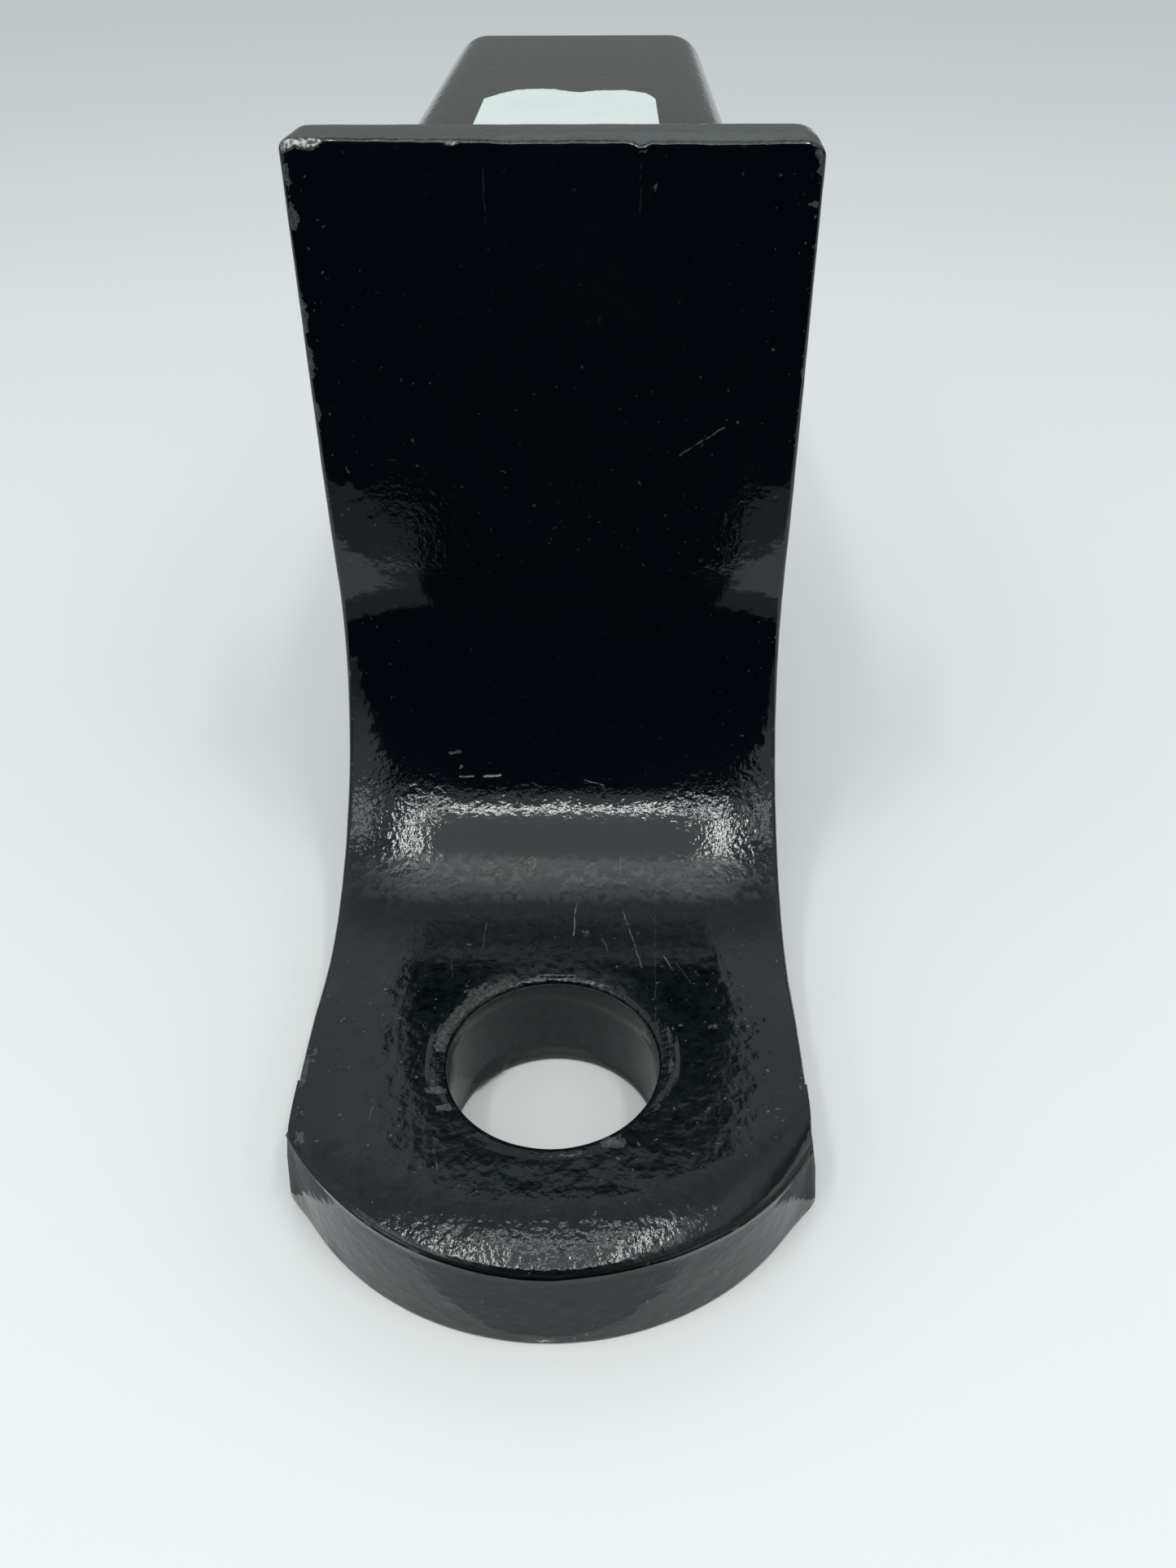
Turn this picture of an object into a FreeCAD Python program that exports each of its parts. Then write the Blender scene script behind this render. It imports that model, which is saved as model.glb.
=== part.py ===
"""Ball mount: a hot-bent flat drawbar with a punched ball hole, welded to a square shank tube.

The frame's origin is the centre of the hitch pin hole, on the shank's own axis.  +Z is up, +Y points
along the shank towards the towing vehicle, -Y towards the ball and the trailer, and +X is to the right
for someone who looks from the ball towards the vehicle.  Lengths are in millimetres.
"""
import FreeCAD, Part
import math
import os
import Sketcher

Vector = FreeCAD.Vector

# Driving dimensions: name, value, what it is
SIZES = [
    ("shank_size", 63.5, "outside of the square shank tube"),
    ("shank_wall", 6.35, "wall of the shank tube"),
    ("shank_corner", 8.85, "outside corner radius of the shank tube"),
    ("shank_end_chamfer", 1.2, "chamfer round the open end of the shank"),
    ("pin_hole_dia", 16.7, "hole for the hitch pin through both side walls"),
    ("pin_to_end", 62.0, "pin hole centre to the open end of the shank"),
    ("pin_to_leg", 102.15, "pin hole centre to the back face of the drawbar's leg"),
    ("bar_width", 76.2, "width of the flat bar"),
    ("bar_thickness", 19.05, "thickness of the flat bar"),
    ("bar_edge_radius", 0.9, "rolled edge of the flat bar"),
    ("bend_radius", 46.75, "hollow side of the bend"),
    ("leg_above_shank", 10.1, "top of the leg above the top of the shank"),
    ("drop", 105.95, "top of the shank down to the top of the platform"),
    ("shear_land", 12.0, "smooth part of the sheared top end, from the front face"),
    ("shear_fall", 0.45, "how far that smooth part falls towards the back"),
    ("break_fall", 2.6, "how far the broken-out part of the top end falls behind it"),
    ("ball_reach", 63.3, "front face of the leg to the centre of the ball hole"),
    ("ball_hole_dia", 32.5, "ball hole, for a 1-1/4 inch ball shank"),
    ("ball_rim_roll", 1.1, "radius of the rolled rim on the punch side of the ball hole"),
    ("ball_rim_break", 0.5, "chamfer on the lower rim of the ball hole"),
    ("ball_to_nose", 35.2, "centre of the ball hole to the tip of the nose"),
    ("nose_crown", 21.6, "shoulders to the tip of the nose, along the bar"),
    ("lip_crown_radius", 21.0, "broad curve of the drawn-down lip round the nose"),
    ("lip_nose_radius", 1.6, "tight curve where the lip meets the sheared face"),
    ("lip_turn", 27.5, "degrees turned by the broad curve of the lip"),
    ("lip_sweep_radius", 60.0, "radius on which the lip runs round, larger than the nose"),
    ("lip_sweep_turn", 120.0, "degrees through which the lip runs round, past both shoulders"),
    ("shoulder_spread", 2.0, "how far the torn shoulders stand out beyond the bar's sides"),
    ("shoulder_length", 14.0, "length over which that spread runs out along the bar"),
    ("shoulder_back", 1.6, "shoulder's tip behind the end of the nose's arc"),
    ("shoulder_front", 3.0, "how far the torn face reaches round onto the nose"),
    ("shoulder_round", 2.0, "height of the rounded foot of the shoulders"),
    ("shoulder_root", 3.0, "how deep inside the bar the shoulder's sections start"),
    ("shoulder_sink", 0.6, "how deep its long end lies below the bar's side"),
    ("shoulder_inset", 0.4, "how far its root stays behind the end of the nose's arc"),
    ("weld_leg", 5.4, "leg of the fillet weld round the shank"),
    ("weld_face_radius", 17.0, "crown of the weld's face"),
    ("label_width", 34.1, "paper label on top of the shank"),
    ("label_length", 57.0, "its longest part, from the straight edge to the torn edge"),
    ("label_thickness", 0.2, "thickness of the paper"),
    ("label_setback", 26.7, "back face of the leg to the label's straight edge"),
]

# Torn edge of the label: share of the width from the left, and how much paper is gone there in mm
TORN_EDGE = [(0.0, 10.3), (0.11, 2.9), (0.22, 0.2), (0.38, 0.0), (0.46, 2.4),
             (0.52, 3.9), (0.69, 1.7), (0.80, 1.7), (0.92, 4.9), (1.0, 11.8)]

# Torn shoulder above its foot: share of the torn height, share of the spread
TORN_SHOULDER = [(1.0, 0.04), (0.92, 0.32), (0.62, 0.68)]
FOOT_SHARE = 0.7

SAME = 1e-4  # lengths that differ by less count as equal, in mm
LEVEL = 1e-3  # an edge that stays this near a level lies on it, in mm


class Dim:
    """A length that knows both its number and the expression that gives it from the sheet."""

    def __init__(self, number, text=None):
        self.number = number
        self.text = text or repr(number)

    @staticmethod
    def of(other):
        return other if isinstance(other, Dim) else Dim(float(other))

    def __add__(self, other):
        other = Dim.of(other)
        return Dim(self.number + other.number, f"({self.text} + {other.text})")

    def __sub__(self, other):
        other = Dim.of(other)
        return Dim(self.number - other.number, f"({self.text} - {other.text})")

    def __mul__(self, other):
        other = Dim.of(other)
        return Dim(self.number * other.number, f"({self.text} * {other.text})")

    def __truediv__(self, other):
        other = Dim.of(other)
        return Dim(self.number / other.number, f"({self.text} / {other.text})")

    def __neg__(self):
        return Dim(-self.number, f"(0 - {self.text})")


def sine(angle):
    return Dim(math.sin(math.radians(angle.number)), f"sin({angle.text})")


def cosine(angle):
    return Dim(math.cos(math.radians(angle.number)), f"cos({angle.text})")


class Arc:
    """Between two corners of an outline: an arc of this radius, about roughly this centre."""

    def __init__(self, radius, centre_x, centre_y):
        self.radius = Dim.of(radius)
        self.centre = Vector(Dim.of(centre_x).number, Dim.of(centre_y).number, 0)


def make_sheet(doc):
    """Write the driving dimensions into the sheet, and return them as a dictionary of Dims."""
    sheet = doc.addObject("Spreadsheet::Sheet", "sizes")
    dims = {}
    for row, (name, number, note) in enumerate(SIZES, start=1):
        sheet.set(f"A{row}", note)
        sheet.set(f"B{row}", str(number))
        sheet.setAlias(f"B{row}", name)
        dims[name] = Dim(number, f"sizes.{name}")
    doc.recompute()
    return dims


def new_body(doc, label):
    body = doc.addObject("PartDesign::Body", label)
    body.Label = label
    return body


def origin_plane(body, role):
    for feature in body.Origin.OriginFeatures:
        if feature.Role == role:
            return feature
    raise ValueError(f"{body.Label} has no {role}")


def new_sketch(body, name, role, height=None):
    """A sketch on one of the body's own planes, raised along the plane's normal by height."""
    sketch = body.newObject("Sketcher::SketchObject", name)
    sketch.AttachmentSupport = [(origin_plane(body, role), "")]
    sketch.MapMode = "FlatFace"
    if height is not None:
        sketch.AttachmentOffset = FreeCAD.Placement(Vector(0, 0, height.number), FreeCAD.Rotation())
        sketch.setExpression(".AttachmentOffset.Base.z", height.text)
    return sketch


def constrain(sketch, kind, where, dim):
    """Add a driving constraint and bind it to the sheet."""
    index = sketch.addConstraint(Sketcher.Constraint(kind, *where, dim.number))
    sketch.setExpression(f"Constraints[{index}]", dim.text)


def hold_point(sketch, edge, end, corner):
    """Hold one end of an edge at its distances from the sketch's origin."""
    constrain(sketch, "DistanceX", (-1, 1, edge, end), corner[0])
    constrain(sketch, "DistanceY", (-1, 1, edge, end), corner[1])


def draw_loop(sketch, outline):
    """Draw a closed outline of corners, with an Arc between two corners where the side is round."""
    corners = [tuple(Dim.of(value) for value in item) for item in outline if not isinstance(item, Arc)]
    arcs = {}
    passed = 0
    for item in outline:
        if isinstance(item, Arc):
            arcs[passed - 1] = item
        else:
            passed += 1
    ends = []
    for number, corner in enumerate(corners):
        following = corners[(number + 1) % len(corners)]
        start = Vector(corner[0].number, corner[1].number, 0)
        stop = Vector(following[0].number, following[1].number, 0)
        if number not in arcs:
            edge = sketch.addGeometry(Part.LineSegment(start, stop), False)
            ends.append((edge, 1, 2))
            continue
        arc = arcs[number]
        from_centre = start - arc.centre
        to_centre = stop - arc.centre
        turns_left = from_centre.cross(to_centre).z > 0
        first, last = (from_centre, to_centre) if turns_left else (to_centre, from_centre)
        circle = Part.Circle(arc.centre, Vector(0, 0, 1), arc.radius.number)
        angles = (math.atan2(first.y, first.x), math.atan2(last.y, last.x))
        edge = sketch.addGeometry(Part.ArcOfCircle(circle, *angles), False)
        ends.append((edge, 1, 2) if turns_left else (edge, 2, 1))
    for number, corner in enumerate(corners):
        edge, begin, finish = ends[number]
        after = ends[(number + 1) % len(ends)]
        sketch.addConstraint(Sketcher.Constraint("Coincident", edge, finish, after[0], after[1]))
        hold_point(sketch, edge, begin, corner)
    for number, arc in arcs.items():
        constrain(sketch, "Radius", (ends[number][0],), arc.radius)


def rounded_square(half, radius):
    """Outline of a square of this half size with round corners, from the middle of its top side."""
    flat = half - radius
    return [
        (0, half), (flat, half), Arc(radius, flat, flat), (half, flat),
        (half, -flat), Arc(radius, flat, -flat), (flat, -half),
        (-flat, -half), Arc(radius, -flat, -flat), (-half, -flat),
        (-half, flat), Arc(radius, -flat, flat), (-flat, half),
    ]


def bind(feature, prop, dim):
    setattr(feature, prop, dim.number)
    feature.setExpression(prop, dim.text)


def add_pad(body, name, sketch, length, symmetric=False):
    pad = body.newObject("PartDesign::Pad", name)
    pad.Profile = sketch
    pad.SideType = "Symmetric" if symmetric else "One side"
    bind(pad, "Length", length)
    return pad


def add_pocket(body, name, sketch, length=None):
    """Cut downwards from the sketch through everything, or both ways by the length given."""
    before = settled_volume(body)
    pocket = body.newObject("PartDesign::Pocket", name)
    pocket.Profile = sketch
    if length is None:
        pocket.Type = "ThroughAll"
    else:
        pocket.SideType = "Symmetric"
        bind(pocket, "Length", length)
    if not settled_volume(body) < before:
        raise ValueError(f"{name} removed nothing")
    return pocket


def settled_volume(body):
    body.Document.recompute()
    return body.Shape.Volume


def edge_names(shape, wanted):
    """Names of the shape's edges for which wanted(edge) holds."""
    return [f"Edge{number}" for number, edge in enumerate(shape.Edges, start=1) if wanted(edge)]


def near(first, second):
    return abs(first - second) < SAME


def lies_at(edge, axis, number):
    """Whether the whole edge lies at this coordinate."""
    box = edge.BoundBox
    low, high = {"x": (box.XMin, box.XMax), "y": (box.YMin, box.YMax), "z": (box.ZMin, box.ZMax)}[axis]
    return abs(low - number) < LEVEL and abs(high - number) < LEVEL


def add_fillet(body, name, base, edges, radius):
    fillet = body.newObject("PartDesign::Fillet", name)
    fillet.Base = (base, edges)
    bind(fillet, "Radius", radius)
    return fillet


def add_chamfer(body, name, base, edges, size):
    chamfer = body.newObject("PartDesign::Chamfer", name)
    chamfer.Base = (base, edges)
    bind(chamfer, "Size", size)
    return chamfer


class BarPlaces:
    """Where the bar's faces and features lie, worked out from the driving dimensions."""

    def __init__(self, dims):
        half_shank = dims["shank_size"] / 2
        self.half_width = dims["bar_width"] / 2
        self.leg_back = -dims["pin_to_leg"]
        self.leg_front = self.leg_back - dims["bar_thickness"]
        self.leg_top = half_shank + dims["leg_above_shank"]
        self.platform_top = half_shank - dims["drop"]
        self.platform_base = self.platform_top - dims["bar_thickness"]
        self.bend_y = self.leg_front - dims["bend_radius"]
        self.bend_z = self.platform_top + dims["bend_radius"]
        self.hole_centre = self.leg_front - dims["ball_reach"]
        self.nose_tip = self.hole_centre - dims["ball_to_nose"]
        self.shoulder = self.nose_tip + dims["nose_crown"]


def make_drawbar(doc, dims):
    """One flat bar: sheared ends, a wide hot bend, a nose cut round from above and a punched hole."""
    body = new_body(doc, "drawbar")
    places = BarPlaces(dims)
    bend_the_bar(doc, body, dims, places)
    cut_the_nose(body, dims, places)
    draw_down_the_lip(body, dims, places)
    tear_the_shoulders(doc, body, dims, places)
    punch_the_hole(doc, body, dims, places)
    return body


def bend_the_bar(doc, body, dims, places):
    """Leg, bend and platform in one pad, with the sheared top end that falls away at the back."""
    leg_front, leg_back, leg_top = places.leg_front, places.leg_back, places.leg_top
    bend_y, bend_z = places.bend_y, places.bend_z
    inner = dims["bend_radius"]
    outer = dims["bend_radius"] + dims["bar_thickness"]
    land_back = leg_front + dims["shear_land"]
    land_top = leg_top - dims["shear_fall"]
    side_view = new_sketch(body, "bar_side_view", "YZ_Plane")
    draw_loop(side_view, [
        (leg_front, leg_top), (land_back, land_top), (leg_back, land_top - dims["break_fall"]),
        (leg_back, bend_z), Arc(outer, bend_y, bend_z), (bend_y, places.platform_base),
        (places.nose_tip, places.platform_base), (places.nose_tip, places.platform_top),
        (bend_y, places.platform_top), Arc(inner, bend_y, bend_z), (leg_front, bend_z),
    ])
    bar = add_pad(body, "bent_bar", side_view, dims["bar_width"], symmetric=True)
    doc.recompute()

    # Rolled long edges, and the front edge of the top end, which the shear drew over
    def is_rolled_edge(edge):
        half = places.half_width.number
        box = edge.BoundBox
        on_a_side = lies_at(edge, "x", half) or lies_at(edge, "x", -half)
        at_the_nose = near(box.YMin, box.YMax) and box.YMin < bend_y.number
        at_the_top = box.ZMin > bend_z.number + LEVEL
        front_of_top = lies_at(edge, "y", leg_front.number) and lies_at(edge, "z", leg_top.number)
        return (on_a_side and not at_the_nose and not at_the_top) or front_of_top

    add_fillet(body, "rolled_edges", bar, edge_names(bar.Shape, is_rolled_edge), dims["bar_edge_radius"])
    doc.recompute()


def cut_the_nose(body, dims, places):
    """Round nose, cut by one arc through both shoulders and the tip."""
    half_width, shoulder = places.half_width, places.shoulder
    crown = dims["nose_crown"]
    nose_radius = (half_width * half_width + crown * crown) / (crown * 2)
    outside = dims["bar_width"]
    nose_cut = new_sketch(body, "nose_plan", "XY_Plane")
    draw_loop(nose_cut, [
        (-half_width, shoulder), Arc(nose_radius, 0, places.nose_tip + nose_radius), (half_width, shoulder),
        (outside, shoulder), (outside, places.nose_tip - crown),
        (-outside, places.nose_tip - crown), (-outside, shoulder),
    ])
    add_pocket(body, "round_nose", nose_cut)


def draw_down_the_lip(body, dims, places):
    """Lip that the cut drew down round the nose, deepest at the tip and running out at the shoulders."""
    nose_tip, platform_top = places.nose_tip, places.platform_top
    turn = dims["lip_turn"]
    broad, tight = dims["lip_crown_radius"], dims["lip_nose_radius"]
    lip_width = broad * sine(turn) + tight * (Dim(1.0) - sine(turn))
    lip_depth = broad * (Dim(1.0) - cosine(turn)) + tight * cosine(turn)
    lip_back = nose_tip + lip_width
    middle_y = lip_back - broad * sine(turn)
    middle_z = platform_top - broad * (Dim(1.0) - cosine(turn))
    clear_of_nose = nose_tip - lip_width
    clear_of_top = platform_top + lip_width
    lip_section = new_sketch(body, "lip_section", "YZ_Plane")
    draw_loop(lip_section, [
        (lip_back, platform_top), Arc(broad, lip_back, platform_top - broad), (middle_y, middle_z),
        Arc(tight, nose_tip + tight, platform_top - lip_depth), (nose_tip, platform_top - lip_depth),
        (clear_of_nose, platform_top - lip_depth), (clear_of_nose, clear_of_top), (lip_back, clear_of_top),
    ])
    turning_line = nose_tip + dims["lip_sweep_radius"]
    foot = (turning_line, places.platform_base)
    head = (turning_line, platform_top)
    points = [Vector(end[0].number, end[1].number, 0) for end in (foot, head)]
    line = lip_section.addGeometry(Part.LineSegment(*points), True)
    hold_point(lip_section, line, 1, foot)
    hold_point(lip_section, line, 2, head)
    before = settled_volume(body)
    lip = body.newObject("PartDesign::Groove", "drawn_down_lip")
    lip.Profile = lip_section
    lip.ReferenceAxis = (lip_section, ["Axis0"])
    lip.Midplane = True
    bind(lip, "Angle", dims["lip_sweep_turn"])
    if not settled_volume(body) < before:
        raise ValueError("the lip removed nothing")


def tear_the_shoulders(doc, body, dims, places):
    """Below the clean cut the steel tore at both shoulders, and stands out beyond the side and the arc."""
    half_width, shoulder = places.half_width, places.shoulder
    inside = half_width - dims["shoulder_root"]
    torn_height = dims["bar_thickness"] - dims["bar_edge_radius"]
    levels = [(torn_height * height, share) for height, share in TORN_SHOULDER]
    levels += [(dims["shoulder_round"], 1.0), (Dim(0.0), FOOT_SHARE)]
    sections = []
    for number, (height, share) in enumerate(levels, start=1):
        spread = dims["shoulder_spread"] * share
        behind = shoulder + dims["shoulder_length"] * share
        section = new_sketch(body, f"shoulder_section_{number}", "XY_Plane", places.platform_base + height)
        draw_loop(section, [
            (inside, behind), (half_width - dims["shoulder_sink"], behind),
            (half_width + spread, shoulder + dims["shoulder_back"]),
            (half_width - spread, shoulder - dims["shoulder_front"] * share),
            (inside, shoulder + dims["shoulder_inset"]),
        ])
        sections.append(section)
    ear = body.newObject("PartDesign::AdditiveLoft", "shoulder_right")
    ear.Profile = sections[0]
    ear.Sections = [(section, [""]) for section in sections[1:]]
    ear.Ruled = True
    doc.recompute()
    both = body.newObject("PartDesign::Mirrored", "shoulder_left")
    both.Originals = [ear]
    both.MirrorPlane = (origin_plane(body, "YZ_Plane"), [""])
    body.Tip = both
    doc.recompute()


def punch_the_hole(doc, body, dims, places):
    """Ball hole, punched from above: rolled rim on top, small break below."""
    hole_plan = new_sketch(body, "ball_hole_plan", "XY_Plane")
    add_circle(hole_plan, Dim(0.0), places.hole_centre, dims["ball_hole_dia"] / 2)
    hole = add_pocket(body, "ball_hole", hole_plan)

    def rim_at(level):
        def is_rim(edge):
            return lies_at(edge, "z", level) and near(edge.BoundBox.XLength, dims["ball_hole_dia"].number)
        return is_rim

    top_rim = edge_names(hole.Shape, rim_at(places.platform_top.number))
    rolled_rim = add_fillet(body, "rolled_rim", hole, top_rim, dims["ball_rim_roll"])
    doc.recompute()
    base_rim = edge_names(rolled_rim.Shape, rim_at(places.platform_base.number))
    add_chamfer(body, "broken_rim", rolled_rim, base_rim, dims["ball_rim_break"])


def add_circle(sketch, x, y, radius):
    centre = Vector(x.number, y.number, 0)
    edge = sketch.addGeometry(Part.Circle(centre, Vector(0, 0, 1), radius.number), False)
    hold_point(sketch, edge, 3, (x, y))
    constrain(sketch, "Radius", (edge,), radius)


def make_shank(doc, dims):
    """Square tube, open at the vehicle's end, with the pin hole through its side walls."""
    body = new_body(doc, "shank_tube")
    half = dims["shank_size"] / 2
    wall = dims["shank_wall"]
    section = new_sketch(body, "tube_section", "XZ_Plane", -dims["pin_to_end"])
    draw_loop(section, rounded_square(half, dims["shank_corner"]))
    draw_loop(section, rounded_square(half - wall, dims["shank_corner"] - wall))
    tube = add_pad(body, "tube", section, dims["pin_to_end"] + dims["pin_to_leg"])
    doc.recompute()

    def is_outer_end(edge):
        middle = edge.valueAt((edge.FirstParameter + edge.LastParameter) / 2)
        reach = max(abs(middle.x), abs(middle.z))
        bore_reach = half.number - wall.number
        return lies_at(edge, "y", dims["pin_to_end"].number) and reach > bore_reach + LEVEL

    end_edges = edge_names(tube.Shape, is_outer_end)
    add_chamfer(body, "end_chamfer", tube, end_edges, dims["shank_end_chamfer"])
    doc.recompute()
    pin_plan = new_sketch(body, "pin_hole_plan", "YZ_Plane")
    add_circle(pin_plan, Dim(0.0), Dim(0.0), dims["pin_hole_dia"] / 2)
    add_pocket(body, "pin_hole", pin_plan, dims["shank_size"] * 2)
    return body


def make_weld(doc, dims, drawbar):
    """Fillet weld all round the shank.

    Its root tapers into the gap that opens where the leg starts to bend, and is cut to the leg's back.
    """
    body = new_body(doc, "weld_run")
    half = dims["shank_size"] / 2
    leg_back = -dims["pin_to_leg"]
    weld_leg = dims["weld_leg"]
    root = leg_back - dims["bar_thickness"] / 2
    path = new_sketch(body, "weld_path", "XZ_Plane", dims["pin_to_leg"])
    draw_loop(path, rounded_square(half, dims["shank_corner"]))
    section = new_sketch(body, "weld_section", "YZ_Plane")
    crown = dims["weld_face_radius"]
    side = crown.number / math.sqrt(2)
    middle_y = leg_back.number + weld_leg.number / 2 - side
    middle_z = half.number + weld_leg.number / 2 - side
    draw_loop(section, [
        (root, half), (leg_back + weld_leg, half),
        Arc(crown, middle_y, middle_z), (leg_back, half + weld_leg),
    ])
    run = body.newObject("PartDesign::AdditivePipe", "weld_sweep")
    run.Profile = section
    run.Spine = (path, [f"Edge{number + 1}" for number in range(path.GeometryCount)])
    doc.recompute()
    seated = doc.addObject("Part::Cut", "weld_bead")
    seated.Label = "weld_bead"
    seated.Base = body
    seated.Tool = drawbar
    return seated


def make_label(doc, dims):
    """Paper label, flat on top of the shank, with its far edge torn off unevenly."""
    body = new_body(doc, "paper_label")
    width = dims["label_width"]
    near_edge = -dims["pin_to_leg"] + dims["label_setback"]
    far_edge = near_edge + dims["label_length"]
    outline = [(-(width / 2), near_edge), (width / 2, near_edge)]
    for share, gone in reversed(TORN_EDGE):
        outline.append((width * (share - 0.5), far_edge - gone))
    plan = new_sketch(body, "label_plan", "XY_Plane", dims["shank_size"] / 2)
    draw_loop(plan, outline)
    add_pad(body, "paper", plan, dims["label_thickness"])
    return body


def check_and_export(doc, pieces):
    """Stop if anything failed, then write each piece to its own file."""
    doc.recompute()
    for item in doc.Objects:
        bad = [state for state in item.State if state in ("Invalid", "Error")]
        if bad:
            raise ValueError(f"{item.Name} is {', '.join(bad)}")
    for piece in pieces:
        shape = piece.Shape
        if shape.isNull() or not shape.isValid() or len(shape.Solids) != 1:
            raise ValueError(f"{piece.Label} isn't one valid solid")
    os.makedirs("parts", exist_ok=True)
    for piece in pieces:
        piece.Shape.exportStep(f"parts/{piece.Label}.step")
        print(piece.Label, round(piece.Shape.Volume), "mm3", piece.Shape.BoundBox)


def main():
    doc = FreeCAD.newDocument("ball_mount")
    dims = make_sheet(doc)
    drawbar = make_drawbar(doc, dims)
    shank = make_shank(doc, dims)
    weld = make_weld(doc, dims, drawbar)
    label = make_label(doc, dims)
    check_and_export(doc, [drawbar, shank, weld, label])


main()
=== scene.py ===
"""Looks of the ball mount: the forged drawbar, shank, weld and label, with paint, chips and soft light."""
import math

import bmesh
import bpy
from mathutils import Matrix, Vector, noise


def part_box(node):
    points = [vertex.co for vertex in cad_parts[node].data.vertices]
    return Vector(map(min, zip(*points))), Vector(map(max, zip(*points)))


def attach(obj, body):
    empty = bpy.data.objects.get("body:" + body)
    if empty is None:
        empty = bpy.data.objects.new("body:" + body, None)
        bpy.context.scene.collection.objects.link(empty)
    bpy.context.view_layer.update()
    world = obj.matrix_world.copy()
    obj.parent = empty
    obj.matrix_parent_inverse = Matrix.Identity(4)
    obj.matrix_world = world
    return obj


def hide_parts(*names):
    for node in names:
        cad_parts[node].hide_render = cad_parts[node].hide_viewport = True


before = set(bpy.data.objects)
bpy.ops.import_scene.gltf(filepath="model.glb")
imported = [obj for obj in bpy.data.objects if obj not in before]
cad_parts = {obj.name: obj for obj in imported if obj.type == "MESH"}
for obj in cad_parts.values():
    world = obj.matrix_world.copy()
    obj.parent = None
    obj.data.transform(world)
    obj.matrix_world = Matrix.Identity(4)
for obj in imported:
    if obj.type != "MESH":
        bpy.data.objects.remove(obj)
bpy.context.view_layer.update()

MM = 0.001
TOUCH = 0.001   # mm within which a point lies on a face

# Sizes in millimetres, the same as those of the solids
WIDTH, THICK = 76.2, 19.05
HALF = WIDTH / 2
LEG_BACK, LEG_FRONT, LEG_TOP = -102.15, -121.2, 41.85
BEND_Y, BEND_Z, BEND_R = -167.95, -27.45, 46.75
PLATFORM_TOP = -74.2
EDGE_ROLL = 0.9
HOLE_Y, HOLE_R = -184.5, 16.25
RIM_ROLL, RIM_BREAK = 1.1, 0.5
NOSE_Y, NOSE_CROWN = -219.7, 21.6
SHEAR_LAND, SHEAR_FALL, BREAK_FALL = 12.0, 0.45, 2.6
LIP_SWEEP, LIP_BROAD, LIP_TIGHT, LIP_TURN = 60.0, 21.0, 1.6, math.radians(27.5)
EAR_SPREAD, EAR_LENGTH, EAR_BACK, EAR_FRONT = 2.0, 14.0, 1.6, 3.0
EAR_SHARES = ((0.0, 1.05), (2.0, 1.05), (11.25, 0.68), (16.7, 0.32), (18.15, 0.04), (19.05, 0.0))
TUBE_HALF, TUBE_CORNER = 31.75, 8.85
WELD_LEG, WELD_CROWN = 5.4, 17.0
LABEL_HALF, LABEL_NEAR, LABEL_THICK = 17.05, -75.45, 0.2

NOSE_R = (HALF * HALF + NOSE_CROWN * NOSE_CROWN) / (2 * NOSE_CROWN)
NOSE_CENTRE = NOSE_Y + NOSE_R
SHOULDER = NOSE_Y + NOSE_CROWN
SWEEP_Y = NOSE_Y + LIP_SWEEP

# Distances along the front face of the straight bar, from the top of the leg
LEG_END = LEG_TOP - BEND_Z
BEND_END = LEG_END + BEND_R * math.pi / 2
HOLE_S = BEND_END + BEND_Y - HOLE_Y
LIP_WIDE = LIP_BROAD * math.sin(LIP_TURN) + LIP_TIGHT * (1 - math.sin(LIP_TURN))
BAR_END = BEND_END + BEND_Y - NOSE_Y
LIP_START = BAR_END - LIP_WIDE


def clamp(value, low=0.0, high=1.0):
    return max(low, min(high, value))


def ease(value, low, high):
    """0 below low, 1 above high, and smooth between them."""
    t = clamp((value - low) / (high - low))
    return t * t * (3 - 2 * t)


def blend(a, b, t):
    return a + (b - a) * t


def hump(value, low, high, soft):
    """1 between low and high, fading to 0 over the soft distance on both sides."""
    return ease(value, low - soft, low) * (1 - ease(value, high, high + soft))


def along(pairs, value):
    """The height at value of a line through pairs."""
    for (x0, y0), (x1, y1) in zip(pairs, pairs[1:]):
        if value <= x1:
            return blend(y0, y1, clamp((value - x0) / (x1 - x0)))
    return pairs[-1][1]


def ripple(point, size, seed=0.0):
    """Smooth noise between about -1 and 1, with lumps of this size in mm."""
    return noise.noise(Vector(point) / size + Vector((seed, seed * 1.7, seed * 0.3)))


def even(low, high, step):
    """Values from low to high, as nearly this step apart as fits."""
    count = max(1, round((high - low) / step))
    return [low + (high - low) * number / count for number in range(count + 1)]


def new_piece(name, bm, material):
    """A finished object at the origin, smooth shaded."""
    mesh = bpy.data.meshes.new(name)
    bm.to_mesh(mesh)
    bm.free()
    mesh.materials.append(material)
    for polygon in mesh.polygons:
        polygon.use_smooth = True
    piece = bpy.data.objects.new(name, mesh)
    bpy.context.scene.collection.objects.link(piece)
    return piece


def made_verts(geometry):
    return [item for item in geometry if isinstance(item, bmesh.types.BMVert)]


def made_edges(geometry):
    return [item for item in geometry if isinstance(item, bmesh.types.BMEdge)]


# Materials

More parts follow.
